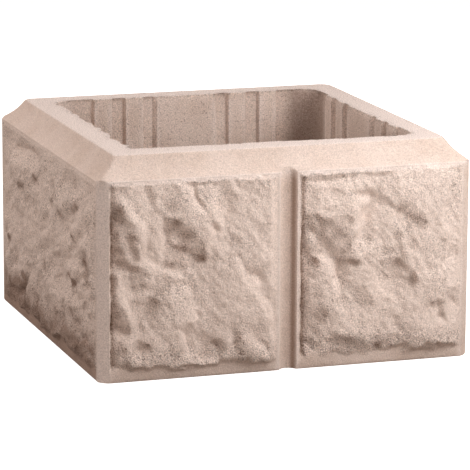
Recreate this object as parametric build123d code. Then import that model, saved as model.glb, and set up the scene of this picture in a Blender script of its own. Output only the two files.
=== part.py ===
import os
from math import hypot, sqrt

from build123d import *

# Hollow pillar block in cast concrete with rock faces: one piece, stacked course on course round a core.
# Millimetres, +Z up. The origin is the middle of the bottom, on the level that the block stands on.

# Outer body, measured over the smooth frame that borders every rock face
bodySide = 350.0
blockHeight = 200.0
cornerBevel = 9.0

# Concave weathering round the top: it rises from the eave to the flat top seat
eaveHeight = 180.0
seatInset = 19.0
coveSagitta = 2.2
# Its mitres are nearly sharp at the eave and rounder at the seat
eaveMitreRadius = 3.0
seatMitreRadius = 8.0

# Through-hollow, measured between the floors of the flutes, and its rounded corners
hollowSide = 268.0
hollowCornerRadius = 22.0
# Just under the seat the flutes run out to a closer opening with squarer corners
fluteHeadHeight = 5.0
lipSide = 263.0
lipCornerRadius = 8.0

# Upright ribs that stand into the hollow, five to a wall: one broad rib between two pairs of narrow ones
ribDepth = 4.0
narrowRibWidth = 16.5
narrowRibDraft = 2.0
broadRibWidth = 58.0
broadRibDraft = 4.0
fluteWidth = 15.0

# False joint: a round-bottomed channel up the middle of the front and of the back face
jointWidth = 16.5
jointDepth = 6.5

# Rock faces: crowned panels that stand proud of the frame, a little fuller up and down than across
bottomMargin = 8.0
eaveMargin = 1.0
jointMargin = 2.0
panelEdgeHeight = 2.5
panelCrownHeight = 8.0
panelUprightCrown = 10.0
panelEdgeDraft = 4.0

half = bodySide / 2
# Length by which cutting solids run past the faces they cut, and levels that the cove is drawn through
overrun = 10.0
coveSteps = 4


def bodyColumn():
    """Square column with its four upright corners bevelled."""
    outline = chamfer(Rectangle(bodySide, bodySide).vertices(), cornerBevel)
    return extrude(outline, amount=blockHeight)


def roundedSquare(side, radius, height=0.0):
    """Square face with rounded corners at one height."""
    return Pos(0, 0, height) * fillet(Rectangle(side, side).vertices(), radius)


def coveHalfWidth(share):
    """Half the width of the block at a share of the way up its cove, which is an arc of a circle."""
    rise = blockHeight - eaveHeight
    chord = hypot(rise, seatInset)
    radius = (chord**2 / 4 + coveSagitta**2) / (2 * coveSagitta)
    # the arc's centre lies outside the block, square to the middle of its chord
    away = radius - coveSagitta
    centreOut = half - seatInset / 2 + away * rise / chord
    centreUp = rise / 2 + away * seatInset / chord
    return centreOut - sqrt(radius**2 - (share * rise - centreUp) ** 2)


def cove():
    """The weathering above the eave, lofted so that its mitres grow rounder towards the seat."""
    sections = []
    for step in range(coveSteps + 1):
        share = step / coveSteps
        radius = eaveMitreRadius + (seatMitreRadius - eaveMitreRadius) * share**2
        height = eaveHeight + (blockHeight - eaveHeight) * share
        sections.append(roundedSquare(2 * coveHalfWidth(share), radius, height))
    return loft(sections)


def weatheredBody():
    """Upright walls to the eave and the cove on top, with the bevels cut up the corners of both."""
    walls = extrude(Rectangle(bodySide, bodySide), amount=eaveHeight)
    return (walls + cove()) & bodyColumn()


def rockPanel(width, height):
    """A rock face lying on XY: a low slab with drafted edges whose top is crowned across and along."""
    slab = extrude(Rectangle(width, height), amount=panelCrownHeight)
    across = (width, Plane.XZ, height, panelCrownHeight - panelEdgeHeight)
    upright = (height, Plane.YZ, width, panelUprightCrown - panelEdgeHeight)
    for span, plane, length, crownRise in (across, upright):
        edge = span / 2
        shoulder = edge - panelEdgeDraft
        section = make_face(
            [
                Line((edge, -overrun), (-edge, -overrun)),
                Line((-edge, -overrun), (-edge, 0)),
                Line((-edge, 0), (-shoulder, panelEdgeHeight)),
                SagittaArc((-shoulder, panelEdgeHeight), (shoulder, panelEdgeHeight), crownRise),
                Line((shoulder, panelEdgeHeight), (edge, 0)),
                Line((edge, 0), (edge, -overrun)),
            ]
        )
        slab &= extrude(plane * section, amount=length / 2, both=True)
    return slab


def rockFaces():
    """Two panels on the front and on the back, either side of the joint, and one on each flank."""
    panelHeight = eaveHeight - eaveMargin - bottomMargin
    panelMiddle = bottomMargin + panelHeight / 2
    outerEdge = half - cornerBevel
    innerEdge = jointWidth / 2 + jointMargin
    halfPanel = rockPanel(outerEdge - innerEdge, panelHeight)
    flankPanel = rockPanel(2 * outerEdge, panelHeight)
    halfPanelCentre = (outerEdge + innerEdge) / 2
    faces = []
    for turn in (0, 180):
        for side in (-1, 1):
            onFace = Pos(side * halfPanelCentre, -half, panelMiddle) * Rot(90, 0, 0)
            faces.append(Rot(0, 0, turn) * onFace * halfPanel)
    for turn in (90, 270):
        onFace = Pos(0, -half, panelMiddle) * Rot(90, 0, 0)
        faces.append(Rot(0, 0, turn) * onFace * flankPanel)
    return faces


def rib(width, draft):
    """Plan of one rib on the wall at the bottom of the hollow's outline, pointing to the middle."""
    wall = -hollowSide / 2
    root = width / 2 + draft
    tip = width / 2
    return make_face(
        Polyline(
            (-root, wall - overrun / 2),
            (root, wall - overrun / 2),
            (root, wall),
            (tip, wall + ribDepth),
            (-tip, wall + ribDepth),
            (-root, wall),
            close=True,
        )
    )


def ribPlans():
    """Plans of the five ribs on each of the four walls."""
    narrow = rib(narrowRibWidth, narrowRibDraft)
    plans = []
    firstNarrow = broadRibWidth / 2 + fluteWidth + narrowRibWidth / 2
    secondNarrow = firstNarrow + narrowRibWidth + fluteWidth
    for turn in range(0, 360, 90):
        wall = Rot(0, 0, turn)
        plans.append(wall * rib(broadRibWidth, broadRibDraft))
        for offset in (firstNarrow, secondNarrow):
            for side in (-1, 1):
                plans.append(wall * Pos(side * offset, 0, 0) * narrow)
    return plans


def hollow():
    """The through-hollow: fluted walls, whose flutes run out in a tapered head under the seat."""
    headFoot = blockHeight - fluteHeadHeight
    plan = roundedSquare(hollowSide, hollowCornerRadius)
    mouth = roundedSquare(lipSide, lipCornerRadius, blockHeight)
    head = loft([roundedSquare(hollowSide, hollowCornerRadius, headFoot), mouth])
    head += extrude(mouth, amount=overrun)
    for ribPlan in ribPlans():
        plan -= ribPlan
        head -= Pos(0, 0, headFoot) * extrude(ribPlan, amount=fluteHeadHeight + overrun)
    shaft = Pos(0, 0, -overrun) * extrude(plan, amount=headFoot + overrun)
    return shaft + head


def jointChannel():
    """One false joint, cut up the middle of the front face."""
    channelRadius = (jointWidth**2 / 4 + jointDepth**2) / (2 * jointDepth)
    centre = -half - channelRadius + jointDepth
    return Pos(0, centre, blockHeight / 2) * Cylinder(channelRadius, blockHeight + 2 * overrun)


block = weatheredBody()
for face in rockFaces():
    block += face
block -= hollow()
channel = jointChannel()
block -= channel
block -= Rot(0, 0, 180) * channel

os.makedirs("parts", exist_ok=True)
export_step(block, "parts/pillar_block.step")
print("solids", len(block.solids()), "volume", round(block.volume), "box", block.bounding_box().size)
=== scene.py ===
import math

import bpy
import numpy as np
from mathutils import Matrix, Vector


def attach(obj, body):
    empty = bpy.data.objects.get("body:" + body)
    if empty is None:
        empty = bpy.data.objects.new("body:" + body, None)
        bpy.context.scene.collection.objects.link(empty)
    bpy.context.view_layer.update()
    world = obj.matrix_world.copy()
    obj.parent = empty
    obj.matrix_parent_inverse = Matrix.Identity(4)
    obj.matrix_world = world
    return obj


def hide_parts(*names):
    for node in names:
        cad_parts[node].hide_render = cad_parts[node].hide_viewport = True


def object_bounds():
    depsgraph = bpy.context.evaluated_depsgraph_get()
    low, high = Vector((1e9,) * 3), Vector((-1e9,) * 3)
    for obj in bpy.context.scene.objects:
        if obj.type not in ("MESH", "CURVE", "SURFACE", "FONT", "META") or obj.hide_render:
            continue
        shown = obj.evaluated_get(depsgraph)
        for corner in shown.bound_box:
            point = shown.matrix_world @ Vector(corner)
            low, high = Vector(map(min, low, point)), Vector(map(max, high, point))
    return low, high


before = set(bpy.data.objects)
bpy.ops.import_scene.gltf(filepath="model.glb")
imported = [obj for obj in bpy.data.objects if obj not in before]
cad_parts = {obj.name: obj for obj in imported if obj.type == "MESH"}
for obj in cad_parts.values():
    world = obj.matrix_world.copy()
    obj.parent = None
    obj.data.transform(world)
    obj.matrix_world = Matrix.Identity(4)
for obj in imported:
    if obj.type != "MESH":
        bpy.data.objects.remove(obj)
cadLow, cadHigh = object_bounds()
print("frame loaded, nodes:", ", ".join(sorted(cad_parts)))

mm = 0.001

# The camera stands where the photograph's did. Degrees, and mm from the middle of the block's foot.
view = {
    "turn": -18.34,       # round the block, from straight in front towards its left flank
    "tilt": 12.06,        # looking down
    "roll": 0.24,
    "distance": 2985.3,
    "aim": (7.3, 0.1),    # shift of the aim to the right and up, from the mark below
    "mark": 87.5,         # height of the mark on the block's axis
    "lens": 243.1,        # a long lens on a 36 mm sensor
}


def makeCamera():
    turn, tilt, roll = (math.radians(view[key]) for key in ("turn", "tilt", "roll"))
    back = Vector((math.sin(turn) * math.cos(tilt), -math.cos(turn) * math.cos(tilt), math.sin(tilt)))
    side = Vector((math.cos(turn), math.sin(turn), 0))
    top = back.cross(side)
    across = side * math.cos(roll) + top * math.sin(roll)
    upward = top * math.cos(roll) - side * math.sin(roll)
    aim = Vector((0, 0, view["mark"])) + across * view["aim"][0] + upward * view["aim"][1]
    data = bpy.data.cameras.new("blockCamera")
    data.lens = view["lens"]
    data.sensor_width = 36
    data.clip_end = 60
    camera = bpy.data.objects.new("blockCamera", data)
    place = Matrix((across, upward, back)).transposed().to_4x4()
    place.translation = (aim + back * view["distance"]) * mm
    camera.matrix_world = place
    bpy.context.scene.collection.objects.link(camera)
    bpy.context.scene.camera = camera


makeCamera()
print("camera set")

# The block, in mm. The smooth frame is what is left round each rock face.
block = {
    "side": 350.0,
    "top": cadHigh.z / mm,
    "bevel": 9.0,           # flat on each upright corner
    "eave": 180.0,          # foot of the cove
    "seatInset": 19.0,      # the cove carries the outline in by this much
    "coveSag": 2.2,         # how hollow the cove is
    "mitreRound": 3.0,      # rounding of the cove's mitred corners, at the eave
    "jointWidth": 16.5,
    "jointDepth": 6.5,
    "footRound": 1.5,       # the foot's arris is rounded off over this height, by this much
    "footInset": 0.8,
    "seatArris": 1.2,       # rounding of the seat's outer edge
    "lipHalf": 132.8,       # the seat's inner edge, from the middle
    "fluteHalf": 134.0,     # floor of the flutes in the hollow
    "fluteHead": 5.0,       # the flutes run out over this much under the seat
    "hollowRound": 22.0,
}
# Roundings of the corner that follows each side, at the seat's outer edge and at the lip
seatRound = {"front": 10.0, "right": 10.0, "back": 7.0, "left": 3.5}
lipRound = {"front": 8.0, "right": 11.0, "back": 9.0, "left": 4.0}
half = block["side"] / 2
flatEnd = half - block["bevel"]
seatHalf = half - block["seatInset"]

# Ribs in the hollow, five to a wall: centre, width and the run of one sloping side
ribs = {
    "depth": 4.0,
    "centres": (0.0, 52.25, -52.25, 83.75, -83.75),
    "widths": (58.0, 16.5, 16.5, 16.5, 16.5),
    "drafts": (4.0, 2.0, 2.0, 2.0, 2.0),
}

# Rock faces. A face's own x runs to the right as seen from outside, z is the height on the block.
rock = {
    "bottom": 8.0,
    "top": 179.0,
    "jointMargin": 2.0,
    "edgeRun": 2.7,         # width of the slope that carries a face up from the frame
    "bottomRun": 7.0,
    "topRun": 3.0,
    "crown": 3.0,           # how much fuller a face is in the middle than at its left and right
    "reach": cadHigh.x / mm - half - 0.2,
    "lowest": -7.0,
    "eaveHeight": 1.2,      # a face is at least this high just under the eave
    "patchGain": 2.0,
    "bigChips": 0.085,      # tilts of the chips between the patches, and their sizes
    "bigChipSize": 11.0,
    "smallChips": 0.10,
    "smallChipSize": 5.0,
    "lightLean": 51.0,      # direction up the face that the tilts are measured along, degrees from x
    "widest": 130.0,        # swells wider than this are levelled out
    "crossHold": 0.10,      # how firmly heights side by side across that direction hold together
    "lumps": 0.12,          # height of the lumps of 5 mm and of 2.4 mm
    "streaks": 0.20,
}
innerEdge = block["jointWidth"] / 2 + rock["jointMargin"]

# Mesh pitch on the outside of each side, from the front anticlockwise as seen from above
pitch = {"front": 1.35, "right": 2.1, "back": 2.1, "left": 1.5}
sideNames = list(pitch)


def spread(stops, step):
    # even steps from stop to stop, so that every stop keeps a line of the mesh
    runs = [
        np.linspace(a, b, max(1, round(abs(b - a) / step)), endpoint=False)
        for a, b in zip(stops, stops[1:])
    ]
    return np.concatenate(runs + [[stops[-1]]])


def ramp(value):
    t = np.clip(value, 0, 1)
    return t * t * (3 - 2 * t)


def frequencies(shape):
    # up and across the grid, in turns per step
    rows, cols = shape
    return np.meshgrid(np.fft.fftfreq(rows), np.fft.fftfreq(cols), indexing="ij")


def bandNoise(shape, size, seed, stretch=1.0, lean=0.0):
    # smooth noise with lumps of one size, drawn out along a lean where stretch is over 1
    ky, kx = frequencies(shape)
    angle = math.radians(lean)
    along = kx * math.cos(angle) + ky * math.sin(angle)
    across = -kx * math.sin(angle) + ky * math.cos(angle)
    k = np.hypot(along * stretch, across) * size
    white = np.random.default_rng(seed).standard_normal(shape)
    field = np.fft.ifft2(np.fft.fft2(white) * np.exp(-(k * 2.2) ** 2) * (k > 0)).real
    return field / field.std()


def softened(field, size):
    # the field with everything finer than the size smoothed away
    ky, kx = frequencies(field.shape)
    kept = np.exp(-2 * (np.pi * size * np.hypot(kx, ky)) ** 2)
    return np.fft.ifft2(np.fft.fft2(field) * kept).real


def distanceTo(path, x, z):
    nearest = np.full(x.shape, 1e9)
    for (ax, az), (bx, bz) in zip(path, path[1:]):
        lengthSquared = (bx - ax) ** 2 + (bz - az) ** 2
        t = np.clip(((x - ax) * (bx - ax) + (z - az) * (bz - az)) / lengthSquared, 0, 1)
        nearest = np.minimum(nearest, np.hypot(x - ax - t * (bx - ax), z - az - t * (bz - az)))
    return nearest


def strokeWeight(x, z, path, width):
    # 1 along a stroke, falling off past half its width
    return 1 / (1 + (distanceTo(path, x, z) / (width / 2)) ** 5)


def patchWeight(x, z, corners, softness=0.9):
    # 1 inside an outline, 0 outside, with a narrow slope between
    outline = corners + corners[:1]
    nearest, inside = distanceTo(outline, x, z), np.zeros(x.shape, dtype=bool)
    for (ax, az), (bx, bz) in zip(outline, outline[1:]):
        if az != bz:
            inside ^= ((az > z) != (bz > z)) & (x < ax + (z - az) * (bx - ax) / (bz - az))
    return ramp(0.5 + np.where(inside, nearest, -nearest) / (2 * softness))


# Relief of the three faces that the photograph shows, in mm on each face.
# Patches are flat facets: tilt towards the light from up and right (minus is away), then the outline.
leftHalfPatches = [
    (-0.50, [(-162, 161), (-158, 161), (-150, 152), (-146, 143), (-151, 141), (-160, 147)]),
    (-0.42, [(-149, 149), (-140, 136), (-138, 112), (-143, 107), (-147, 125)]),
    (-0.45, [(-164, 144), (-159, 143), (-157, 126), (-151, 110), (-160, 107), (-164, 118)]),
    (-0.45, [(-158, 113), (-148, 108), (-140, 104), (-131, 96), (-136, 92), (-147, 100), (-157, 105)]),
    (-0.50, [(-116, 148), (-108, 147), (-97, 144), (-88, 137), (-80, 127), (-78, 106), (-86, 104), (-94, 114),
             (-108, 118), (-114, 126)]),
    (-0.26, [(-115, 126), (-106, 121), (-92, 117), (-86, 106), (-93, 99), (-105, 97), (-115, 106)]),
    (-0.14, [(-118, 168), (-110, 166), (-106, 158), (-104, 152), (-114, 151)]),
    (-0.12, [(-131, 172), (-126, 172), (-124, 161), (-130, 161)]),
    (-0.20, [(-164, 158), (-150, 150), (-141, 136), (-139, 110), (-150, 105), (-164, 108)]),
    (-0.20, [(-150, 98), (-138, 92), (-132, 80), (-145, 84)]),
    (-0.18, [(-124, 96), (-110, 94), (-112, 84), (-120, 76), (-130, 84)]),
    (-0.60, [(-165, 80), (-157, 72), (-149, 58), (-146, 44), (-156, 42), (-165, 56)]),
    (-0.16, [(-148, 78), (-138, 70), (-134, 48), (-144, 40)]),
    (-0.48, [(-166, 100), (-159, 98), (-158, 76), (-160, 60), (-166, 60)]),
    (-0.50, [(-166, 42), (-157, 40), (-150, 30), (-146, 18), (-132, 11), (-150, 8), (-166, 8)]),
    (-0.48, [(-140, 37), (-134, 36), (-129, 30), (-133, 25), (-138, 29)]),
    (-0.45, [(-134, 77), (-120, 74), (-118, 70), (-130, 70)]),
    (-0.16, [(-134, 70), (-112, 70), (-115, 48), (-130, 50)]),
    (-0.30, [(-70, 36), (-60, 37), (-58, 24), (-66, 22)]),
    (-0.30, [(-50, 38), (-45, 36), (-43, 25), (-38, 14), (-46, 14), (-52, 20)]),
    (-0.20, [(-74, 80), (-62, 78), (-60, 67), (-70, 65)]),
    (-0.26, [(-56, 48), (-47, 58), (-44, 40), (-50, 26)]),
    (-0.30, [(-78, 60), (-66, 56), (-62, 50), (-72, 50)]),
    (0.36, [(-157, 166), (-150, 164), (-137, 144), (-133, 128), (-138, 128), (-141, 142), (-150, 153)]),
    (0.20, [(-133, 112), (-126, 109), (-113, 100), (-99, 94), (-98, 90), (-113, 96), (-128, 104)]),
    (-0.12, [(-144, 98), (-124, 86), (-122, 66), (-136, 56), (-144, 66)]),
    (-0.16, [(-134, 144), (-124, 140), (-118, 124), (-120, 106), (-130, 114)]),
    (-0.20, [(-122, 102), (-112, 108), (-102, 102), (-104, 97), (-114, 99)]),
    (0.60, [(-104, 177), (-92, 177), (-86, 160), (-77, 146), (-69, 130), (-75, 126), (-80, 133), (-89, 142),
            (-97, 147)]),
    (0.42, [(-52, 108), (-46, 104), (-40, 92), (-30, 88), (-27, 72), (-14, 62), (-12, 45), (-17, 45),
            (-22, 57), (-34, 66), (-44, 78), (-50, 95)]),
    (0.75, [(-47, 38), (-37, 38), (-28, 29), (-21, 13), (-31, 14), (-40, 26)]),
    (0.32, [(-112, 86), (-95, 84), (-84, 62), (-88, 52), (-104, 50), (-114, 70)]),
    (0.26, [(-106, 44), (-94, 44), (-90, 24), (-100, 24)]),
    (0.34, [(-90, 177), (-66, 177), (-56, 152), (-64, 134), (-72, 141), (-80, 156)]),
    (0.26, [(-88, 34), (-78, 34), (-76, 12), (-86, 12)]),
    (0.42, [(-104, 21), (-92, 23), (-84, 20), (-76, 13), (-90, 11), (-103, 15)]),
    (0.26, [(-25, 120), (-12, 108), (-14, 98), (-24, 104), (-28, 112)]),
    (0.45, [(-30, 66), (-12, 60), (-10, 8), (-19, 8), (-19, 40)]),
]
rightHalfPatches = [
    (-0.29, [(12, 139), (22, 141), (34, 138), (52, 140), (59, 137), (57, 118), (63, 104), (50, 101), (42, 99),
             (34, 106), (26, 118), (14, 134)]),
    (-0.20, [(28, 132), (40, 136), (50, 126), (54, 106), (44, 102), (34, 112)]),
    (-0.45, [(47, 100), (57, 102), (68, 101), (66, 93), (58, 97), (52, 95), (48, 96)]),
    (-0.30, [(48, 97), (58, 94), (60, 80), (60, 70), (48, 68)]),
    (-0.18, [(60, 72), (72, 72), (78, 66), (78, 58), (72, 50), (62, 58)]),
    (-0.18, [(20, 163), (26, 161), (30, 154), (25, 151), (21, 156)]),
    (-0.30, [(11, 130), (16, 124), (20, 104), (30, 98), (38, 92), (34, 86), (20, 84), (20, 60), (12, 55)]),
    (-0.18, [(12, 134), (22, 128), (36, 106), (42, 94), (32, 94), (14, 108)]),
    (-0.20, [(12, 80), (26, 80), (36, 66), (35, 40), (14, 38)]),
    (-0.16, [(72, 158), (90, 154), (102, 149), (108, 144), (98, 144), (86, 149)]),
    (-0.40, [(104, 150), (114, 147), (124, 140), (130, 132), (129, 122), (120, 124), (110, 134), (101, 142)]),
    (-0.22, [(108, 132), (118, 124), (124, 116), (122, 106), (112, 108)]),
    (-0.16, [(66, 134), (76, 132), (82, 122), (76, 110), (68, 120)]),
    (-0.22, [(88, 110), (100, 110), (100, 100), (90, 100)]),
    (-0.34, [(86, 97), (106, 98), (112, 92), (120, 80), (121, 71), (115, 68), (108, 76), (96, 76), (87, 84)]),
    (-0.45, [(106, 104), (112, 96), (120, 84), (124, 74), (118, 70), (110, 80), (104, 90)]),
    (-0.14, [(98, 80), (110, 80), (112, 62), (104, 58), (100, 70)]),
    (-0.24, [(140, 58), (147, 56), (149, 40), (142, 38)]),
    (-0.30, [(128, 60), (138, 55), (138, 48), (128, 50)]),
    (-0.18, [(100, 46), (112, 48), (120, 38), (130, 32), (118, 28), (100, 32)]),
    (-0.20, [(12, 40), (30, 38), (44, 32), (60, 27), (90, 26), (91, 8), (60, 8), (12, 8)]),
    (-0.30, [(82, 27), (90, 24), (88, 12), (80, 14)]),
    (-0.18, [(96, 30), (112, 26), (136, 20), (154, 11), (140, 7), (98, 8), (92, 20)]),
    (-0.28, [(151, 35), (156, 32), (156, 22), (152, 22)]),
    (0.30, [(26, 104), (36, 108), (44, 96), (48, 88), (50, 50), (44, 44), (42, 70), (40, 84), (30, 92)]),
    (0.55, [(60, 158), (76, 154), (76, 136), (66, 126), (64, 114), (60, 114)]),
    (0.45, [(114, 104), (124, 96), (134, 80), (127, 72), (122, 86), (115, 96)]),
    (0.36, [(116, 60), (126, 60), (146, 38), (150, 18), (140, 20), (124, 34)]),
    (0.30, [(124, 118), (140, 120), (150, 176), (160, 174), (160, 100), (160, 10), (150, 10), (150, 60),
            (132, 96)]),
    (0.30, [(104, 170), (112, 168), (124, 144), (116, 146), (106, 154)]),
    (0.24, [(58, 176), (98, 176), (94, 162), (76, 160), (62, 160)]),
    (0.16, [(98, 176), (150, 176), (146, 164), (104, 164)]),
    (0.20, [(22, 160), (50, 160), (50, 150), (30, 149)]),
    (0.24, [(116, 80), (144, 84), (148, 62), (128, 58)]),
    (0.32, [(14, 172), (60, 172), (58, 162), (34, 162), (20, 166)]),
]
leftFlankPatches = [
    (-0.50, [(-130, 32), (-108, 32), (-92, 36), (-75, 46), (-60, 55), (-55, 50), (-66, 38), (-85, 26),
             (-90, 10), (-120, 12)]),
    (-0.50, [(-66, 22), (-52, 30), (-45, 26), (-32, 22), (-33, 10), (-70, 8)]),
    (-0.35, [(0, 76), (16, 78), (20, 68), (4, 64)]),
    (-0.30, [(76, 74), (104, 80), (112, 70), (90, 64)]),
    (-0.26, [(120, 108), (150, 116), (164, 104), (150, 92), (124, 94)]),
    (-0.42, [(-22, 20), (-8, 28), (4, 24), (-4, 16), (-18, 14)]),
    (-0.46, [(60, 22), (84, 28), (100, 32), (118, 26), (112, 14), (90, 8), (60, 8)]),
    (-0.46, [(78, 80), (100, 84), (112, 80), (108, 72), (86, 72)]),
    (-0.42, [(60, 44), (76, 48), (84, 52), (86, 44), (72, 40)]),
    (-0.28, [(126, 88), (150, 94), (160, 88), (140, 80), (128, 82)]),
    (-0.36, [(118, 20), (140, 30), (160, 26), (150, 14), (125, 14)]),
    (-0.38, [(-155, 80), (-147, 80), (-148, 70), (-154, 70)]),
    (-0.32, [(-140, 70), (-120, 75), (-122, 68), (-138, 64)]),
    (-0.32, [(-105, 131), (-70, 138), (-60, 136), (-80, 128), (-98, 127)]),
    (-0.32, [(-40, 142), (-25, 150), (-20, 146), (-35, 140)]),
    (-0.32, [(20, 156), (34, 159), (36, 152), (24, 150)]),
    (-0.36, [(35, 150), (46, 152), (48, 146), (38, 145)]),
    (-0.32, [(18, 136), (30, 138), (44, 140), (40, 132), (20, 130)]),
    (-0.36, [(60, 133), (70, 136), (72, 130), (62, 127)]),
    (0.30, [(-120, 158), (-60, 168), (-20, 160), (-30, 152), (-110, 146)]),
    (0.24, [(50, 158), (100, 160), (100, 150), (56, 142)]),
    (0.24, [(20, 66), (50, 70), (56, 58), (30, 52)]),
    (-0.32, [(92, 116), (110, 120), (110, 112), (94, 112)]),
    (-0.26, [(88, 142), (112, 150), (112, 142), (90, 138)]),
    (-0.32, [(132, 142), (150, 146), (152, 130), (134, 128)]),
    (0.32, [(-88, 20), (-75, 32), (-62, 44), (-56, 38), (-66, 20), (-80, 13)]),
    (0.28, [(-128, 46), (-100, 50), (-92, 42), (-110, 36), (-126, 36)]),
    (0.28, [(95, 62), (118, 62), (128, 68), (120, 56), (98, 52)]),
    (0.28, [(75, 34), (115, 42), (120, 36), (80, 28)]),
]
# Strokes are the narrow ones: tilt, width, and the path
leftHalfStrokes = [
    (-0.25, 4, [(-131, 172), (-130, 163)]),
    (-0.40, 6, [(-88, 166), (-83, 156)]),
    (-0.35, 6, [(-74, 114), (-70, 108)]),
    (-0.30, 5, [(-56, 134), (-54, 122)]),
    (-0.40, 4, [(-49, 125), (-48, 109)]),
    (-0.30, 6, [(-23, 137), (-22, 131)]),
    (-0.50, 4, [(-96, 44), (-95, 36), (-91, 29)]),
    (-0.50, 5, [(-35, 20), (-31, 12)]),
    (0.34, 4, [(-160, 97), (-158, 84), (-151, 69), (-144, 56), (-140, 42)]),
    (0.45, 3, [(-163, 45), (-158, 38)]),
    (0.30, 8, [(-42, 160), (-42, 154)]),
    (0.40, 7, [(-16, 148), (-14, 141)]),
    (0.30, 6, [(-101, 40), (-97, 22)]),
]
rightHalfStrokes = [
    (-0.60, 4, [(59, 139), (60, 126)]),
    (-0.50, 5, [(60, 98), (67, 95)]),
    (-0.50, 5, [(133, 116), (137, 112)]),
    (-0.55, 5, [(145, 117), (147, 111)]),
    (-0.60, 3, [(126, 73), (134, 65)]),
    (-0.45, 7, [(107, 51), (113, 45)]),
    (-0.60, 6, [(56, 25), (62, 21)]),
    (-0.55, 5, [(15, 30), (15, 23)]),
    (-0.60, 4, [(137, 20), (146, 12)]),
    (0.40, 4, [(98, 96), (100, 88)]),
    (-0.40, 7, [(103, 118), (105, 104)]),
    (0.45, 6, [(16, 19), (24, 13)]),
    (0.45, 5, [(31, 24), (35, 19)]),
]
leftFlankStrokes = [
    (-0.60, 4, [(100, 50), (125, 60), (160, 77)]),
    (0.35, 6, [(-30, 26), (-5, 38)]),
    (0.30, 8, [(82, 88), (110, 95)]),
    (0.30, 7, [(72, 107), (90, 115)]),
]


def randomStrokes(left, right, seed, count):
    # strokes of the same kind for the faces that the photograph doesn't show
    rng = np.random.default_rng(seed)
    strokes = []
    for index in range(count):
        tilt = float(rng.uniform(0.2, 0.42) if index % 2 else -rng.uniform(0.22, 0.6))
        width = float(rng.uniform(5, 15) * (0.7 if tilt > 0 else 1))
        point = np.array([rng.uniform(left + 6, right - 6), rng.uniform(14, 172)])
        path = [tuple(point)]
        heading = math.radians(rng.normal(-52, 20))
        for leg in range(rng.integers(1, 4)):
            heading += math.radians(rng.normal(0, 22))
            point = point + rng.uniform(9, 19) * np.array([math.cos(heading), math.sin(heading)])
            path.append(tuple(point))
        strokes.append((tilt, width, path))
    return strokes


# What a face has unless its own entry says otherwise
plainFace = {
    "patches": [],
    "strokes": [],
    "lean": -56,                # of its streaks, degrees
    "runs": (rock["edgeRun"], rock["edgeRun"]),     # slopes at its left and right end
    "topRun": rock["topRun"],   # the same under the eave
    "height": 2.0,              # mean height over the frame
    "topFall": 1.4,             # how much lower the mean is under the eave
    "rightRise": 0.0,           # how much higher it is at the right end
    "dips": [],                 # x, z, radius and depth of broad hollows, or swells where the depth is minus
    "gain": 1.0,                # on the patches' tilts
    "chips": 1.0,               # on the chips' tilts
    "calmTop": 0.0,             # share of the chips that is missing in the upper half
    "open": 0.0,                # how pitted its skin is all over
    "awayShade": 0.6,               # painted shade on what is turned away from the light
    "awayShadeSoft": 1.3,
    "stepShade": 0.0,            # painted shade in the step at its left end
    "footShade": 0.0,            # painted shade rising from the foot, and how far
    "shadeFromFoot": 60.0,
}
faces = [
    {"side": "front", "ends": (-flatEnd, -innerEdge), "seed": 11, "patches": leftHalfPatches,
     "strokes": leftHalfStrokes, "runs": (2.7, 9), "rightRise": 4.5,
     "dips": [(-92, 137, 18, 6.0), (-136, 18, 13, -2)], "stepShade": 1.5, "footShade": 0.2, "shadeFromFoot": 11},
    {"side": "front", "ends": (innerEdge, flatEnd), "seed": 12, "patches": rightHalfPatches,
     "strokes": rightHalfStrokes, "runs": (2.7, 8), "rightRise": 4.0, "dips": [(56, 132, 19, 5.5)],
     "stepShade": 1.9, "footShade": 0.1, "shadeFromFoot": 11},
    {"side": "left", "ends": (-flatEnd, flatEnd), "seed": 13, "patches": leftFlankPatches,
     "strokes": leftFlankStrokes, "lean": 22, "runs": (26, 2.7), "topRun": 16.0, "height": 3.4,
     "topFall": 3.8, "gain": 1.15, "chips": 2.1, "calmTop": 0.8, "open": 0.4, "awayShade": 1.6,
     "awayShadeSoft": 3.0, "footShade": 1.35, "shadeFromFoot": 48},
    {"side": "right", "ends": (-flatEnd, flatEnd), "seed": 14, "strokeCount": 84, "lean": -50,
     "runs": (22, 2.7)},
    {"side": "back", "ends": (-flatEnd, -innerEdge), "seed": 15, "strokeCount": 42},
    {"side": "back", "ends": (innerEdge, flatEnd), "seed": 16, "strokeCount": 42, "lean": -60},
]
faces = [{**plainFace, **face} for face in faces]
for face in faces:
    if "strokeCount" in face:
        face["strokes"] = randomStrokes(*face["ends"], face["seed"], face["strokeCount"])


def facetTilts(x, z, seed, lean, size):
    # flat chips of random tilt, longer along the streaks, as a cleft face has between its big hollows
    angle = math.radians(lean)
    along = (x * math.cos(angle) + z * math.sin(angle)) / (size * 2.2)
    across = (-x * math.sin(angle) + z * math.cos(angle)) / size
    col, row = np.floor(along).astype(int), np.floor(across).astype(int)
    rng = np.random.default_rng(seed)
    span = (int(row.max() - row.min()) + 3, int(col.max() - col.min()) + 3)
    jitter = rng.uniform(0.1, 0.9, (2,) + span)
    tilts = rng.normal(0, 1, span)
    nearest, found = np.full(x.shape, 1e9), np.zeros(x.shape)
    for stepRow in (-1, 0, 1):
        for stepCol in (-1, 0, 1):
            r, c = row - row.min() + 1 + stepRow, col - col.min() + 1 + stepCol
            offAlong = col + stepCol + jitter[0][r, c] - along
            offAcross = row + stepRow + jitter[1][r, c] - across
            away = offAlong**2 + offAcross**2
            closer = away < nearest
            nearest = np.where(closer, away, nearest)
            found = np.where(closer, tilts[r, c], found)
    return found


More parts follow.
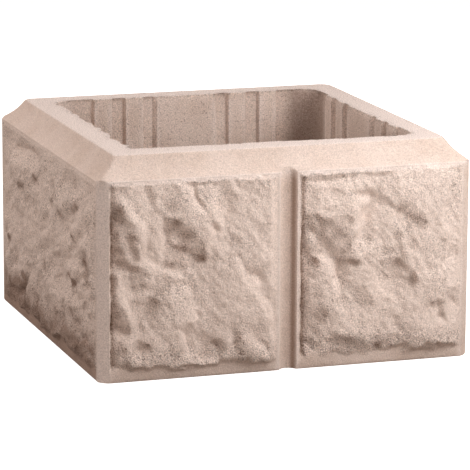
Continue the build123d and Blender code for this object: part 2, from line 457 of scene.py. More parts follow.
def cleftField(face):
    # one rock face on a 1 mm grid that runs 14 mm past it all round: its height, roughness and painted shade
    left, right = face["ends"]
    spare = 14
    xs = np.arange(left - spare, right + spare + 1)
    zs = np.arange(rock["bottom"] - spare, rock["top"] + spare + 1)
    z, x = np.meshgrid(zs, xs, indexing="ij")
    seed, lean = face["seed"] * 100, face["lean"]

    def noise(size, offset, *streak):
        return bandNoise(x.shape, size, seed + offset, *streak)

    # outlines wander a little, as a cleft edge does
    wx = x + 0.8 * noise(12, 1) + 0.7 * noise(4, 2)
    wz = z + 0.8 * noise(12, 3) + 0.7 * noise(4, 4)
    tilt = np.zeros(x.shape)
    for amount, outline in face["patches"]:
        tilt += rock["patchGain"] * face["gain"] * amount * patchWeight(wx, wz, outline)
    for amount, width, path in face["strokes"]:
        tilt += amount * strokeWeight(wx, wz, path, width)
    # a facet is never quite flat
    tilt *= 1 + 0.3 * noise(7, 7)
    # painted shade: how far each point is turned from the light
    away = softened(np.clip(-tilt, 0, 1), face["awayShadeSoft"])
    away = np.maximum(away * (1 + 0.5 * noise(6, 10)), 0)
    chips = face["chips"] * (1 - face["calmTop"] * ramp((z - 105) / 50))
    tilt += chips * rock["bigChips"] * facetTilts(wx, wz, seed + 5, lean, rock["bigChipSize"])
    tilt += chips * rock["smallChips"] * facetTilts(wx, wz, seed + 6, lean, rock["smallChipSize"])
    # the heights whose slope along the light is the wanted tilt, as nearly as a surface can have it
    ky, kx = (2 * np.pi * k for k in frequencies(x.shape))
    angle = math.radians(rock["lightLean"])
    alongLight = kx * math.cos(angle) + ky * math.sin(angle)
    spring = (2 * np.pi / rock["widest"]) ** 2
    solve = -1j * alongLight / (alongLight**2 + rock["crossHold"] * (kx**2 + ky**2) + spring)
    height = np.fft.ifft2(np.fft.fft2(-tilt) * solve).real
    rough = rock["lumps"] * noise(5, 8) + rock["lumps"] * noise(2.4, 9)
    # fine streaks along the cleft
    rough += rock["streaks"] * noise(2.6, 11, 3.2, lean)
    return xs, zs, height, rough, away


def sample(xs, zs, field, x, z):
    # value between the grid's points
    fx = np.clip(x - xs[0], 0, len(xs) - 1.001)
    fz = np.clip(z - zs[0], 0, len(zs) - 1.001)
    ix, iz = fx.astype(int), fz.astype(int)
    tx, tz = fx - ix, fz - iz
    lower = field[iz, ix] * (1 - tx) + field[iz, ix + 1] * tx
    upper = field[iz + 1, ix] * (1 - tx) + field[iz + 1, ix + 1] * tx
    return lower * (1 - tz) + upper * tz


def softLimit(height, low, high):
    # keeps the height between two limits, and leaves it alone well inside them
    middle, room = (low + high) / 2, (high - low) / 2
    share = (height - middle) / room
    return middle + room * share / (1 + np.abs(share) ** 5) ** 0.2


def band(distance, width, fill=1.0):
    # 1 along a line, fading to 0 about a width away on both sides
    return np.clip(fill - np.abs(distance) / width, 0, 1)


# Painted shade on the rock, in the step at its left end, and a painted shadow under the eave: its strength,
# its distance in from the edge that it follows, and its width
rockShade = {
    "step": 0.6,
    "stepPlace": 3.0,
    "stepWidth": 3.2,
    "eave": 0.35,
    "eavePlace": 1.6,
    "eaveWidth": 1.7,
}


def rockRelief(face, x, z):
    # for points of a wall: how far they stand out from the frame, how open their skin is, and their painted
    # shade
    left, right = face["ends"]
    bottom, top = rock["bottom"], rock["top"]
    xs, zs, height, rough, away = cleftField(face)
    seed = face["seed"] * 100 + 20
    wander = sample(xs, zs, bandNoise(height.shape, 4, seed), x, z)
    crumble = sample(xs, zs, bandNoise(height.shape, 9, seed + 1), x, z)
    # the foot is crumblier than the other edges
    foot = (
        ramp((z - bottom + 1.2 * wander + 1.6 * crumble) / rock["bottomRun"])
        * ramp((z - bottom + 1.5) / 3)
        * ((x > left) & (x < right) & (z <= top))
    )
    # at an end the relief may rise more slowly than the skin opens
    heightRuns = (*face["runs"], face["topRun"])
    skinRuns = (rock["edgeRun"], 2.0, rock["topRun"])
    mask, skin = (
        foot
        * ramp((x - left + 0.3 * wander) / atLeft)
        * ramp((right - x + 0.3 * wander) / atRight)
        * ramp((top - z + 0.6 * wander) / atTop)
        for atLeft, atRight, atTop in (heightRuns, skinRuns)
    )
    across = (2 * x - left - right) / (right - left)
    mean = face["height"] - face["topFall"] * ramp((z - 120) / 55)
    mean = mean + rock["crown"] * (0.45 - across**2)
    mean = mean + face["rightRise"] * ramp((across + 0.2) / 1.2)
    for dipX, dipZ, radius, depth in face["dips"]:
        mean = mean - depth * np.exp(-((x - dipX) ** 2 + (z - dipZ) ** 2) / (2 * radius**2))
    body = softLimit(mean + sample(xs, zs, height, x, z), rock["lowest"], rock["reach"] - 0.3)
    # just under the eave a face stays proud of the frame
    body = np.maximum(body, rock["eaveHeight"] - 0.5 * np.maximum(top - 3 - z, 0))
    body = body + sample(xs, zs, rough, x, z)
    tall = np.minimum(body, rock["reach"]) * mask
    # painted shade also lies in the step up from the frame at the left end, and a painted shadow here and
    # there under the eave
    step = rockShade["step"] * band(x - left - rockShade["stepPlace"], rockShade["stepWidth"], 1.3)
    step = step * face["stepShade"]
    underEave = rockShade["eave"] * band(top - rockShade["eavePlace"] - z + wander, rockShade["eaveWidth"])
    underEave = underEave * np.clip(0.4 + 1.2 * crumble, 0, 1)
    shadeAmount = np.maximum(face["awayShade"] * sample(xs, zs, away, x, z), np.maximum(step, underEave))
    # and painted shade darkens the foot, over the frame below the face too
    reach = face["shadeFromFoot"]
    shadeFromFoot = face["footShade"] * ramp((1.2 * reach - z + 0.1 * reach * crumble) / reach)
    shadeFromFoot = shadeFromFoot * ramp((x - left) / 4) * ramp((right - x) / 4)
    return tall, skin, shadeAmount * mask + shadeFromFoot


def sideStations(name):
    stops = {-flatEnd, flatEnd, -flatEnd + rock["edgeRun"], flatEnd - rock["edgeRun"]}
    if name in ("front", "back"):
        for edge in (block["jointWidth"] / 2, innerEdge, innerEdge + rock["edgeRun"]):
            stops |= {-edge, edge}
    for centre, width, draft in zip(ribs["centres"], ribs["widths"], ribs["drafts"]):
        for reach in (width / 2, width / 2 + draft):
            stops |= {centre - reach, centre + reach}
    return spread(sorted(stops), pitch[name])


cornerSteps = np.linspace(0, 1, 9)[1:-1]


def cornerBefore(name):
    # the side whose following corner is this side's first end
    return sideNames[sideNames.index(name) - 1]


def outerLevel(stations, name, halfWidth, worn):
    # plan of one side and the corner after it, in that side's own axes; worn is how far up the cove it is
    def straightEnd(side):
        rounding = block["mitreRound"] + (seatRound[side] - block["mitreRound"]) * worn
        return min(2 * half - block["bevel"] - halfWidth, halfWidth - rounding)

    first, last = straightEnd(cornerBefore(name)), straightEnd(name)
    end = np.where(stations < 0, first, last)
    blend = ramp((np.abs(stations) - 0.7 * flatEnd) / (0.3 * flatEnd))
    x = stations * (1 + blend * (end / flatEnd - 1))
    out = np.full(len(stations), halfWidth)
    if name in ("front", "back"):
        chord, depth = block["jointWidth"], block["jointDepth"]
        radius = (chord**2 / 4 + depth**2) / (2 * depth)
        # the channel is cut upright from foot to seat, so its floor stands at one distance
        floor = half + radius - depth - np.sqrt(np.maximum(radius**2 - stations**2, 0))
        inChannel = np.abs(stations) <= chord / 2
        out = np.where(inChannel, np.minimum(out, floor), out)
    t = cornerSteps
    chordLine = np.array([last, halfWidth]) + np.array([halfWidth - last, last - halfWidth]) * t[:, None]
    reach = halfWidth - last
    arc = np.stack([last + reach * np.sin(t * np.pi / 2), last + reach * np.cos(t * np.pi / 2)], axis=-1)
    # the bevel is only eased at its edges, and turns into a round up the cove
    roundness = 0.22 + 0.78 * min(max((half - halfWidth) / 3, 0), 1)
    corner = chordLine + (arc - chordLine) * roundness
    return np.concatenate([x, corner[:, 0]]), np.concatenate([out, corner[:, 1]])


def turned(x, out, z, index):
    # from a side's own axes to the block's
    c, s = math.cos(index * math.pi / 2), math.sin(index * math.pi / 2)
    return np.stack([x * c + out * s, x * s - out * c, np.full(len(x), z)], axis=-1)


def hollowLevel(stations, name, halfWidth, roundings):
    # plan of the hollow for the same columns: the stretch past the straight wall runs round the corner
    halfBevel = block["bevel"] / math.sqrt(2)
    columns = np.concatenate([stations, flatEnd + cornerSteps * 2 * halfBevel])
    rounding = np.where(columns < 0, roundings[cornerBefore(name)], roundings[name])
    straight = halfWidth - rounding
    whole = flatEnd + halfBevel - straight
    turn = np.clip((np.abs(columns) - straight) / whole, 0, 2) * math.pi / 4
    onWall = np.abs(columns) <= straight
    x = np.where(onWall, columns, np.sign(columns) * (straight + rounding * np.sin(turn)))
    out = np.where(onWall, halfWidth, straight + rounding * np.cos(turn))
    return x, out, np.where(onWall, columns, 1000.0)


# The seat's inner edge as cast: place along the wall, and how far the lip stands into the hollow there
lipShapes = {
    "front": [(-134, 3.5), (-124, 4.4), (-100, 3.2), (-60, 2.8), (-36, 1), (-31, 1), (-27, 2.6), (0, 2.3),
              (30, 0.6), (63, -1.8), (124, -1.8), (134, -1)],
    "right": [(-134, -1), (-110, -1.5), (-70, 0.5), (-20, -0.5), (40, 1), (90, -0.5), (134, 0)],
    "back": [(-134, 0), (-120, 0.2), (-60, 1), (0, 0.4), (35, 1), (77, 1), (110, 0), (134, 0)],
    "left": [(-134, 0), (-100, 0.5), (-60, 2), (-20, -1), (30, 1.5), (80, -1.5), (134, 3)],
}
lipRaggedness = {"front": 0.8, "right": 1.0, "back": 0.4, "left": 1.7}


def lipOffset(name, place, seed):
    # the drawn shape, broken up by chips about 9 mm long and finer crumbs
    shape = np.array(lipShapes[name])
    base = np.interp(place, shape[:, 0], shape[:, 1])
    cells = np.arange(-190, 191)
    rng = np.random.default_rng(seed)
    chips = np.repeat(rng.standard_normal(len(cells) // 9 + 1), 9)[: len(cells)]
    crumbs, grit = rng.standard_normal((2, len(cells)))
    mixed = 0.6 * chips + 0.5 * np.convolve(crumbs, np.ones(4) / 2, "same") + 0.25 * grit
    return base + lipRaggedness[name] * np.interp(place, cells, mixed)


# Painted highlights with some pale wear: how pale each side's eave and the bevel after it are made, and the
# strengths and widths of the rest; the joint and corner entries are painted shade
paintedLightAndWear = {
    "eave": {"front": 0.6, "right": 0.4, "back": 0.4, "left": 0.1},
    "bevel": {"front": 0.0, "right": 0.2, "back": 0.2, "left": 0.6},
    "bevelEdge": 0.4,
    "bevelEdgeWidth": 1.4,
    "jointEdgeWidth": 1.8,
    "ribEdge": 0.45,
    "ribEdgeWidth": 1.2,
    "jointShade": 1.3,       # painted shade down the right side of each joint
    "jointShadePlace": 5.6,
    "jointShadeWidth": 1.8,
    "cornerDark": 94.0,     # painted shade darkens the hollow's corners from this far along a wall
    "cornerDarkRun": 20.0,
}
# What the points carry for the geometry nodes and the material
fieldNames = (
    "rockFace", "turnedAway", "pittedFace", "lipBand", "wallPlace", "ribReach", "wornArris", "hollowCorner",
)


def buildGrid():
    # every row is one loop round the block; rows run up the outside, over the seat, down the hollow and home
    stations = {name: sideStations(name) for name in sideNames}
    widths = [len(stations[name]) + len(cornerSteps) for name in sideNames]
    columns = sum(widths)
    rows, fields = [], {field: [] for field in fieldNames}

    def addRow(points, wallPlace=1000.0, ribReach=0.0, **given):
        # painted shade in the hollow's corners, growing past the straight wall
        pastWall = ramp((np.abs(wallPlace) - paintedLightAndWear["cornerDark"]) / paintedLightAndWear["cornerDarkRun"])
        given.update(wallPlace=wallPlace, ribReach=ribReach, hollowCorner=ribReach * pastWall)
        rows.append(points)
        for field in fieldNames:
            fields[field].append(np.broadcast_to(given.get(field, 0.0), columns))

    def around(values, corners=None):
        # joins the sides' values into whole rows, each side followed by its corner
        parts = []
        for name in sideNames:
            shape = (*values[name].shape[:-1], len(cornerSteps))
            parts += [values[name], np.full(shape, corners[name] if corners else 0.0)]
        return np.concatenate(parts, axis=-1)

    def loop(z, halfWidth, worn=0.0, raised=0.0):
        parts = []
        raisedParts = np.split(np.broadcast_to(raised, columns), np.cumsum(widths)[:-1])
        for index, name in enumerate(sideNames):
            x, out = outerLevel(stations[name], name, halfWidth, worn)
            parts.append(turned(x, out + raisedParts[index], z, index))
        return np.concatenate(parts)

    def hollowLoop(z, halfWidth, roundings, ragged=0.0):
        parts, place = [], []
        for index, name in enumerate(sideNames):
            x, out, along = hollowLevel(stations[name], name, halfWidth, roundings)
            if ragged:
                out = out - ragged * ramp((150 - np.abs(x)) / 8) * lipOffset(name, x, 40 + index)
            parts.append(turned(x, out, z, index))
            place.append(along)
        return np.concatenate(parts), np.concatenate(place)

    # painted highlights with some pale wear on the arrises: the edges of the bevels, of the joints and of the
    # ribs
    edgeHighlights, ribEdges = {}, {}
    for name in sideNames:
        away = np.full(len(stations[name]), 9.0)
        for centre, width in zip(ribs["centres"], ribs["widths"]):
            away = np.minimum(away, np.abs(np.abs(stations[name] - centre) - width / 2))
        ribEdges[name] = paintedLightAndWear["ribEdge"] * band(away, paintedLightAndWear["ribEdgeWidth"], 1.3)
        fromMiddle = np.abs(stations[name])
        edgeHighlights[name] = paintedLightAndWear["bevelEdge"] * band(fromMiddle - flatEnd, paintedLightAndWear["bevelEdgeWidth"])
        if name in ("front", "back"):
            jointEdge = band(fromMiddle - block["jointWidth"] / 2 - 0.7, paintedLightAndWear["jointEdgeWidth"])
            edgeHighlights[name] = np.maximum(edgeHighlights[name], jointEdge)
    edgeHighlights, ribEdges = around(edgeHighlights, paintedLightAndWear["bevel"]), around(ribEdges)
    eaveHighlight = np.repeat([paintedLightAndWear["eave"][name] for name in sideNames], widths)

    # outside wall, with the rock worked out for the whole wall at once
    bottom, top = rock["bottom"], rock["top"]
    levels = [0, bottom - 1.5, bottom + rock["bottomRun"], top - 3, top, block["eave"]]
    wallRows = spread(levels, pitch["front"])
    raised, rockFace, turnedAway, pittedFace = (
        {name: np.zeros((len(wallRows), len(stations[name]))) for name in sideNames} for layer in range(4)
    )
    for face in faces:
        name = face["side"]
        z, x = np.meshgrid(wallRows, stations[name], indexing="ij")
        tall, skin, shadeAmount = rockRelief(face, x, z)
        inside = (x > face["ends"][0]) & (x < face["ends"][1])
        raised[name][inside] = tall[inside]
        rockFace[name][inside] = skin[inside]
        turnedAway[name][inside] = shadeAmount[inside]
        pittedFace[name][inside] = face["open"] * skin[inside]
    for name in ("front", "back"):
        # painted shade down the right side of each joint
        inJoint = np.abs(stations[name]) < block["jointWidth"] / 2
        shadeAmount = paintedLightAndWear["jointShade"] * band(stations[name] - paintedLightAndWear["jointShadePlace"], paintedLightAndWear["jointShadeWidth"], 1.4)
        turnedAway[name] = np.maximum(turnedAway[name], shadeAmount * inJoint)
    raised, rockFace, turnedAway, pittedFace = map(around, (raised, rockFace, turnedAway, pittedFace))
    for row, z in enumerate(wallRows):
        # the foot's arris is rounded off
        foot = block["footInset"] * (1 - min(z / block["footRound"], 1)) ** 2
        addRow(
            loop(z, half - foot, raised=raised[row]),
            rockFace=rockFace[row],
            turnedAway=turnedAway[row],
            pittedFace=pittedFace[row],
            # painted highlights with some pale wear on the arrises, and along the wall's top under the eave
            wornArris=np.maximum(edgeHighlights, eaveHighlight * max(0, 1 - (block["eave"] - 0.5 - z) / 5)),
        )

    # cove
    rise, run = block["top"] - block["eave"], block["seatInset"]
    slant = math.hypot(rise, run)
    for t in np.linspace(0, 1, 18)[1:-1]:
        sag = block["coveSag"] * 4 * t * (1 - t)
        halfWidth = half - run * t - sag * rise / slant
        z = block["eave"] + rise * t - sag * run / slant
        addRow(loop(z, halfWidth, t**2))
    arris = block["seatArris"]
    addRow(loop(block["top"] - 0.35 * arris, seatHalf - 0.15 * arris, 1.0))
    seatEdge = loop(block["top"], seatHalf - arris, 1.0)
    addRow(seatEdge)

    # seat, from its outer edge to the ragged lip
    lipLoop = hollowLoop(block["top"], block["lipHalf"], lipRound, 1.0)[0]
    for t in (0.08, 0.17, 0.26, 0.35, 0.44, 0.53, 0.61, 0.69, 0.76, 0.83, 0.89, 0.94, 0.98):
        addRow(seatEdge + (lipLoop - seatEdge) * t, lipBand=ramp((t - 0.62) / 0.3))

    # down the hollow: under the lip the wall steps back to the flutes, and the corners grow rounder
    for drop in (0.4, 1.0, 1.8, 2.8, 4.0):
        share = min(0.5 + drop / 8, 1)
        ragged = 1.6 * (1 - share)
        halfWidth = block["lipHalf"] + (block["fluteHalf"] - block["lipHalf"]) * share
        roundings = {
            name: rounding + (block["hollowRound"] - rounding) * share for name, rounding in lipRound.items()
        }
        points, place = hollowLoop(block["top"] - drop, halfWidth, roundings, ragged)
        addRow(points, wallPlace=place, ribReach=share, lipBand=ragged)
    deepRound = {name: block["hollowRound"] for name in sideNames}
    wallStart = block["top"] - block["fluteHead"]
    for z in np.concatenate([spread([wallStart, 150], 3), spread([150, 60], 6)[1:], spread([60, 0], 9)[1:]]):
        points, place = hollowLoop(z, block["fluteHalf"], deepRound)
        addRow(points, wallPlace=place, ribReach=1.0, wornArris=ribEdges)

    # underside, back out to the first row
    innerFoot = rows[-1]
    for t in (0.15, 0.35, 0.6, 0.8, 0.93):
        addRow(innerFoot + (rows[0] - innerFoot) * t)

    return np.array(rows) * mm, {field: np.array(values) for field, values in fields.items()}


def gridObject(name, points, fields):
    rowCount, columnCount = points.shape[:2]
    index = np.arange(rowCount * columnCount).reshape(rowCount, columnCount)
    right, up = np.roll(index, -1, axis=1), np.roll(index, -1, axis=0)
    upRight = np.roll(right, -1, axis=0)
    quads = np.stack([index, right, upRight, up], axis=-1).reshape(-1, 4)
    mesh = bpy.data.meshes.new(name)
    mesh.vertices.add(index.size)
    mesh.vertices.foreach_set("co", points.reshape(-1).astype(np.float32))
    mesh.loops.add(quads.size)
    mesh.loops.foreach_set("vertex_index", quads.reshape(-1).astype(np.int32))
    mesh.polygons.add(len(quads))
    mesh.polygons.foreach_set("loop_start", np.arange(0, quads.size, 4, dtype=np.int32))
    mesh.update(calc_edges=True)
    for field, values in fields.items():
        layer = mesh.attributes.new(field, "FLOAT", "POINT")
        layer.data.foreach_set("value", values.reshape(-1).astype(np.float32))
    mesh.validate()
    obj = bpy.data.objects.new(name, mesh)
    bpy.context.scene.collection.objects.link(obj)
    return obj


def addNode(tree, kind, inputs=None, **settings):
    # one node with its settings; an input is a value or another node's output
    node = tree.nodes.new(kind)
    for key, value in settings.items():
        setattr(node, key, value)
    for key, value in (inputs or {}).items():
        socket = node.inputs[key]
        if isinstance(value, bpy.types.NodeSocket):
            tree.links.new(value, socket)
        else:
            socket.default_value = value
    return node


def mathsFor(tree):
    # short ways to add maths nodes in one tree
    def maths(operation, a, b=0.0, c=0.0):
        return addNode(tree, "ShaderNodeMath", {0: a, 1: b, 2: c}, operation=operation).outputs[0]

    def product(a, b, *others):
        found = maths("MULTIPLY", a, b)
        return product(found, *others) if others else found

    return maths, product


# Fine shape that follows a rule: ribs in the hollow, grain on the rock, crumbs along the lip. Sizes in mm.
castDetail = {
    "ribDepth": ribs["depth"],
    "rockGrain": 0.34,
    "rockGrainSize": 4.2,
    "smoothGrain": 0.07,
    "smoothGrainSize": 5.0,
    "lipCrumb": 0.8,
    "lipCrumbSize": 4.5,
    "seed": 7.0,
}


def castDetailTree(material):
    tree = bpy.data.node_groups.new("castDetail", "GeometryNodeTree")
    tree.interface.new_socket("Geometry", in_out="INPUT", socket_type="NodeSocketGeometry")
    tree.interface.new_socket("Geometry", in_out="OUTPUT", socket_type="NodeSocketGeometry")
    for key, value in castDetail.items():
        tree.interface.new_socket(key, in_out="INPUT", socket_type="NodeSocketFloat").default_value = value
    given = tree.nodes.new("NodeGroupInput").outputs
    maths, product = mathsFor(tree)

    def named(attribute):
        found = addNode(tree, "GeometryNodeInputNamedAttribute", {"Name": attribute}, data_type="FLOAT")
        return found.outputs[0]

    def moved(geometry, direction, amount):
        step = addNode(
            tree, "ShaderNodeVectorMath", {0: direction, "Scale": amount}, operation="SCALE"
        ).outputs[0]
        return addNode(tree, "GeometryNodeSetPosition", {"Geometry": geometry, "Offset": step}).outputs[0]

    def noise(size, detail, offset):
        scale = maths("DIVIDE", 1 / mm, size)
        found = addNode(
            tree,
            "ShaderNodeTexNoise",
            {"W": maths("ADD", given["seed"], offset), "Scale": scale, "Detail": detail, "Roughness": 0.6},
            noise_dimensions="4D",
        )
        return maths("SUBTRACT", found.outputs[0], 0.5)

    # ribs: each wall point near a rib's centre line moves in by the rib's trapezoid profile
    place = named("wallPlace")
    profile = 0.0
    for centre, width, draft in zip(ribs["centres"], ribs["widths"], ribs["drafts"]):
        away = maths("ABSOLUTE", maths("SUBTRACT", place, centre))
        slope = maths("DIVIDE", maths("SUBTRACT", width / 2 + draft, away), draft)
        limited = addNode(tree, "ShaderNodeClamp", {"Value": slope}).outputs[0]
        profile = maths("ADD", limited, profile)
    ribMove = product(profile, given["ribDepth"], named("ribReach"))
    position = addNode(tree, "GeometryNodeInputPosition").outputs[0]
    parts = addNode(tree, "ShaderNodeSeparateXYZ", {0: position}).outputs
    # a wall's inward direction is along whichever of x and y is the greater
    alongX = maths("GREATER_THAN", maths("ABSOLUTE", parts[0]), maths("ABSOLUTE", parts[1]))
    alongY = maths("SUBTRACT", 1.0, alongX)
    inX = product(maths("SIGN", parts[0]), alongX, -mm)
    inY = product(maths("SIGN", parts[1]), alongY, -mm)
    inward = addNode(tree, "ShaderNodeCombineXYZ", {0: inX, 1: inY}).outputs[0]
    ribbed = moved(given["Geometry"], inward, ribMove)

    # grain: in and out along the surface's own normal, strongest on the rock
    rockMove = product(noise(given["rockGrainSize"], 4.0, 0.0), given["rockGrain"], named("rockFace"))
    smoothMove = product(noise(given["smoothGrainSize"], 3.0, 10.0), given["smoothGrain"])
    # the lip only loses crumbs, so what would stand out of it is cut off
    crumb = maths("MINIMUM", noise(given["lipCrumbSize"], 2.0, 20.0), 0.02)
    lipMove = product(crumb, given["lipCrumb"], named("lipBand"))
    total = product(maths("ADD", maths("ADD", rockMove, smoothMove), lipMove), 2 * mm)
    grained = moved(ribbed, addNode(tree, "GeometryNodeInputNormal").outputs[0], total)
    realized = addNode(tree, "GeometryNodeRealizeInstances", {"Geometry": grained}).outputs[0]
    finished = addNode(tree, "GeometryNodeSetMaterial", {"Geometry": realized})
    finished.inputs["Material"].default_value = material
    tree.links.new(finished.outputs[0], tree.nodes.new("NodeGroupOutput").inputs[0])
    return tree


def keepInside(obj, low, high):
    # no point passes the frame's box
    points = np.empty(len(obj.data.vertices) * 3, dtype=np.float32)
    obj.data.vertices.foreach_get("co", points)
    points = np.clip(points.reshape(-1, 3), np.array(low), np.array(high))
    obj.data.vertices.foreach_set("co", points.reshape(-1).astype(np.float32))
    obj.data.update()


def plainMesh(obj):
    # the evaluated shape, as the object's own mesh
    graph = bpy.context.evaluated_depsgraph_get()
    shown = obj.evaluated_get(graph)
    mesh = bpy.data.meshes.new_from_object(shown, preserve_all_data_layers=True, depsgraph=graph)
    obj.modifiers.clear()
    obj.data = mesh


def srgb(code):
    # hex colour to linear
    parts = [int(code[i : i + 2], 16) / 255 for i in (0, 2, 4)]
    return tuple(c / 12.92 if c <= 0.04045 else ((c + 0.055) / 1.055) ** 2.4 for c in parts) + (1.0,)


# Dry-cast concrete of pale crushed limestone, sand and white cement, straight from the mould, never sealed.
# It gives the eye a dead matt pinkish beige, sandy close up, with open pores and no gloss at all.
concrete = {
    "cement": "DDCABF",
    "sand": "D5C0B3",
    "splitFace": "EAD8CD",
    "dust": "E8D8CC",
    "seatDustAndHighlight": "EFE1DA",
    "foot": "CDC8C6",
    "shade": "9C8070",
    "darkGrainAndShade": "80675A",
    "patchSize": 46.0,       # mm, slow drift of the mix
    "cloudSize": 9.0,        # mm, unevenly packed mix
    "sandSize": 1.25,        # mm; real sand is nearer 0.6 mm, drawn coarser so that it shows
    "pitSize": 2.4,          # mm, pits that air left in the skin
    "lumpSize": 4.5,         # mm, lumps too low to model
    "zoneSize": 34.0,        # mm, stretches of rock that came out more pitted than others
    "splitPale": 0.75,       # strengths of the colours
    "lowShadeStrength": 0.25,
    "seatPale": 0.8,
    "pitDark": 0.7,
    "closedSkin": 0.18,      # how open the skin is where nothing opens it, in the hollow and on the seat
    "openHollow": 0.36,
    "openSeat": 0.45,
    "gritBump": 1.9,         # mm
    "pitBump": -0.8,
    "roughness": 0.93,
}


def castConcrete():
    material = bpy.data.materials.new("dryCastConcrete")
    material.use_nodes = True
    tree = material.node_tree
    tree.nodes.clear()
    maths, product = mathsFor(tree)

    def node(kind, inputs=None, **settings):
        return addNode(tree, kind, inputs, **settings)

    def blend(mode, factor, a, b):
        # the colour b is a socket or a name in the dictionary
        b = srgb(concrete[b]) if isinstance(b, str) else b
        return node("ShaderNodeMix", {0: factor, 6: a, 7: b}, data_type="RGBA", blend_type=mode).outputs[2]

    place = node("ShaderNodeTexCoord").outputs["Object"]

    def noise(size, detail, roughness=0.6):
        settings = {"Vector": place, "Scale": 1 / (size * mm), "Detail": detail, "Roughness": roughness}
        return node("ShaderNodeTexNoise", settings).outputs[0]

    def graded(value, low, high, toLow=0.0, toHigh=1.0):
        settings = {"Value": value, "From Min": low, "From Max": high, "To Min": toLow, "To Max": toHigh}
        return node("ShaderNodeMapRange", settings, clamp=True).outputs[0]

    def field(name):
        return node("ShaderNodeAttribute", attribute_name=name, attribute_type="GEOMETRY").outputs["Fac"]

    rockFace, inHollow, turnedAway = field("rockFace"), field("ribReach"), field("turnedAway")
    patches = graded(noise(concrete["patchSize"], 3), 0.38, 0.62)
    clouds = graded(noise(concrete["cloudSize"], 4, 0.65), 0.35, 0.65, 0.0, 0.35)
    colour = blend("MIX", patches, srgb(concrete["cement"]), "sand")
    colour = blend("MIX", clouds, colour, "dust")
    # split faces are paler than cast skin, and parts turned from the light get painted shade
    colour = blend("MIX", product(rockFace, concrete["splitPale"]), colour, "splitFace")
    colour = blend("MIX", graded(turnedAway, 0.03, 1.2, 0.0, 0.8), colour, "shade")
    # painted shade: the colour is a little darker towards the foot all round
    across, deep, height = node("ShaderNodeSeparateXYZ", {0: place}).outputs
    lowShade = graded(height, 110 * mm, 0.0, 0.0, concrete["lowShadeStrength"])
    colour = blend("MULTIPLY", lowShade, colour, "foot")
    # arrises get painted highlights with some pale wear, and the seat carries pale dust
    onSeat = graded(height, 199.2 * mm, 199.9 * mm)
    pale = maths("MAXIMUM", product(onSeat, concrete["seatPale"]), field("wornArris"))
    colour = blend("MIX", pale, colour, "seatDustAndHighlight")
    # painted shade in the hollow's corners, most of all in the back right one
    backRight = graded(maths("ADD", across, deep), 210 * mm, 245 * mm, 0.08, 0.62)
    colour = blend("MIX", product(field("hollowCorner"), backRight), colour, "darkGrainAndShade")

    # where the skin is open: stretches of the rock, its top, its foot and what is turned from the light
    zone = graded(noise(concrete["zoneSize"], 3), 0.46, 0.64, 0.04, 0.45)
    zone = maths("ADD", zone, graded(height, 125 * mm, 155 * mm, 0.0, 0.12))
    zone = maths("ADD", zone, graded(height, 34 * mm, 22 * mm, 0.0, 0.6))
    zone = maths("ADD", maths("ADD", zone, product(turnedAway, 0.7)), field("pittedFace"))
    openSkin = product(rockFace, zone)
    # and the hollow's walls, the seat and the lip
    openSkin = maths("MAXIMUM", openSkin, product(inHollow, concrete["openHollow"]))
    openSkin = maths("MAXIMUM", openSkin, product(onSeat, concrete["openSeat"]))
    openSkin = maths("MAXIMUM", openSkin, field("lipBand"))
    openSkin = graded(openSkin, 0.0, 1.0, concrete["closedSkin"], 1.0)
    # sand grains, a little lighter or darker than the paste
    grit = noise(concrete["sandSize"], 2, 0.6)
    grains = graded(grit, 0.32, 0.68, 0.62, 1.34)
    colour = blend("MULTIPLY", maths("ADD", openSkin, 0.25), colour, grains)
    # pits with sharp edges, shallower on the seat
    pits = graded(noise(concrete["pitSize"], 1, 0.5), 0.365, 0.335)
    pits = product(pits, openSkin, maths("MULTIPLY_ADD", onSeat, -0.6, 1.0))
    colour = blend("MIX", product(pits, concrete["pitDark"]), colour, "darkGrainAndShade")

    lumps = product(noise(concrete["lumpSize"], 3, 0.65), maths("MULTIPLY_ADD", rockFace, 0.6, 0.5))
    shape = maths("MULTIPLY_ADD", product(grit, openSkin), concrete["gritBump"], lumps)
    shape = maths("MULTIPLY_ADD", pits, concrete["pitBump"], shape)
    bump = node("ShaderNodeBump", {"Height": shape, "Strength": 1.0, "Distance": 1.0 * mm}).outputs[0]
    rough = graded(grit, 0.3, 0.7, concrete["roughness"] - 0.05, 1.0)
    surface = node(
        "ShaderNodeBsdfPrincipled",
        {"Base Color": colour, "Roughness": rough, "Normal": bump, "IOR": 1.5, "Specular IOR Level": 0.25},
    )
    node("ShaderNodeOutputMaterial", {"Surface": surface.outputs[0]})
    return material


meshing = {"mostTriangles": 192000, "sharpAngle": 42.0}


def triangles(obj):
    return sum(len(face.vertices) - 2 for face in obj.data.polygons)


def makeBlock():
    points, fields = buildGrid()
    obj = gridObject("pillarBlockCast", points, fields)
    print("grid", points.shape, "faces", len(obj.data.polygons))
    tree = castDetailTree(castConcrete())
    modifier = obj.modifiers.new("castDetail", "NODES")
    modifier.node_group = tree
    for item in tree.interface.items_tree:
        if item.in_out == "INPUT" and item.name in castDetail:
            modifier[item.identifier] = castDetail[item.name]
    plainMesh(obj)
    thin = obj.modifiers.new("thin", "DECIMATE")
    thin.ratio = min(1.0, meshing["mostTriangles"] / triangles(obj))
    plainMesh(obj)
    keepInside(obj, cadLow, cadHigh)
    obj.data.shade_smooth()
    obj.data.set_sharp_from_angle(angle=math.radians(meshing["sharpAngle"]))
    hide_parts("pillar_block")
    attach(obj, "root")
    print("block made, triangles", triangles(obj))


makeBlock()

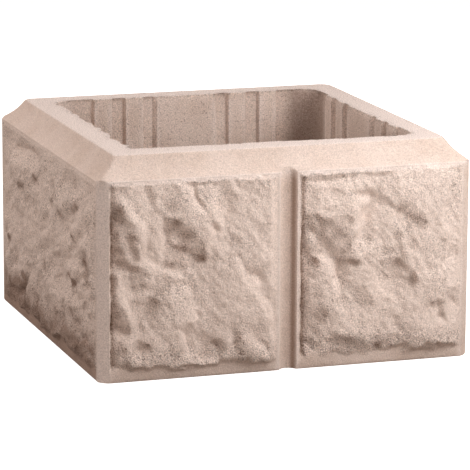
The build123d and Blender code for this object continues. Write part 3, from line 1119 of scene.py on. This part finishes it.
# Studio: white floor, and a soft key lamp up and to the right of the camera. Softer ones stand behind the
# left flank, low at the front left and front, low behind the block, and high up a little behind the left.
# Lamps: degrees round from the front and up, metres, watts.
studio = {
    "floor": "F2F0EE",
    "floorGlow": 0.86,                # shown to the camera only, so that the floor stays white
    "floorBounce": "92877E",          # duller colour that bounces light up at the block
    "floorSize": 24.0,
    "lamps": [
        {"name": "keyLamp", "turn": 37, "tilt": 36, "distance": 0.85, "size": 0.6, "power": 5.1},
        {"name": "leftBackLamp", "turn": -108, "tilt": 40, "distance": 1.5, "size": 1.2, "power": 7.2,
         "tint": (1, 0.93, 0.89)},
        {"name": "leftFrontLamp", "turn": -50, "tilt": 10, "distance": 1.5, "size": 0.8, "power": 3.3},
        {"name": "frontLamp", "turn": 20, "tilt": 8, "distance": 1.5, "size": 1.0, "power": 2.9},
        {"name": "backLamp", "turn": 165, "tilt": 10, "distance": 1.5, "size": 1.0, "power": 3.5},
        {"name": "topLamp", "turn": -120, "tilt": 75, "distance": 1.2, "size": 1.2, "power": 3.3},
    ],
    "fill": (1.0, 0.72, 0.58, 1.0),   # light from all round, a little warm
    "fillStrength": 0.2,
}


def shownDirectly(tree):
    # 1 for what the camera sees, straight or in gloss and glass
    maths = mathsFor(tree)[0]
    rays = addNode(tree, "ShaderNodeLightPath").outputs
    seen = rays["Is Camera Ray"]
    for other in ("Is Glossy Ray", "Is Transmission Ray"):
        seen = maths("MAXIMUM", seen, rays[other])
    return seen


def makeFloor():
    material = bpy.data.materials.new("whiteFloorPaper")
    material.use_nodes = True
    tree = material.node_tree
    tree.nodes.clear()
    bounce = addNode(tree, "ShaderNodeBsdfDiffuse", {"Color": srgb(studio["floorBounce"])}).outputs[0]
    pale = addNode(tree, "ShaderNodeBsdfDiffuse", {"Color": srgb(studio["floor"])}).outputs[0]
    glow = addNode(tree, "ShaderNodeEmission", {"Strength": studio["floorGlow"]}).outputs[0]
    shown = addNode(tree, "ShaderNodeAddShader", {0: pale, 1: glow}).outputs[0]
    mixed = addNode(tree, "ShaderNodeMixShader", {0: shownDirectly(tree), 1: bounce, 2: shown}).outputs[0]
    addNode(tree, "ShaderNodeOutputMaterial", {"Surface": mixed})
    reach, level = studio["floorSize"] / 2, -0.2 * mm
    corners = [(x * reach, y * reach, level) for x, y in ((-1, -1), (1, -1), (1, 1), (-1, 1))]
    mesh = bpy.data.meshes.new("floor")
    mesh.from_pydata(corners, [], [(0, 1, 2, 3)])
    mesh.materials.append(material)
    floor = bpy.data.objects.new("floor", mesh)
    bpy.context.scene.collection.objects.link(floor)


def makeLamp(name, turn, tilt, distance, size, power, tint=(1, 1, 1)):
    data = bpy.data.lights.new(name, "AREA")
    data.shape = "DISK"
    data.size = size
    data.energy = power
    data.color = tint
    lamp = bpy.data.objects.new(name, data)
    around, up = math.radians(turn), math.radians(tilt)
    away = Vector((math.sin(around) * math.cos(up), -math.cos(around) * math.cos(up), math.sin(up)))
    lamp.location = Vector((0, 0, 0.1)) + away * distance
    lamp.rotation_euler = away.to_track_quat("Z", "Y").to_euler()
    bpy.context.scene.collection.objects.link(lamp)


def makeWorld():
    world = bpy.data.worlds.new("studioLight")
    world.use_nodes = True
    tree = world.node_tree
    tree.nodes.clear()
    fill = addNode(
        tree, "ShaderNodeBackground", {"Color": studio["fill"], "Strength": studio["fillStrength"]}
    ).outputs[0]
    white = addNode(tree, "ShaderNodeBackground", {"Color": (1, 1, 1, 1), "Strength": 1.0}).outputs[0]
    mixed = addNode(tree, "ShaderNodeMixShader", {0: shownDirectly(tree), 1: fill, 2: white}).outputs[0]
    addNode(tree, "ShaderNodeOutputWorld", {"Surface": mixed})
    bpy.context.scene.world = world


makeFloor()
for lamp in studio["lamps"]:
    makeLamp(**lamp)
makeWorld()
bpy.context.scene.view_settings.view_transform = "Standard"
print("studio set")
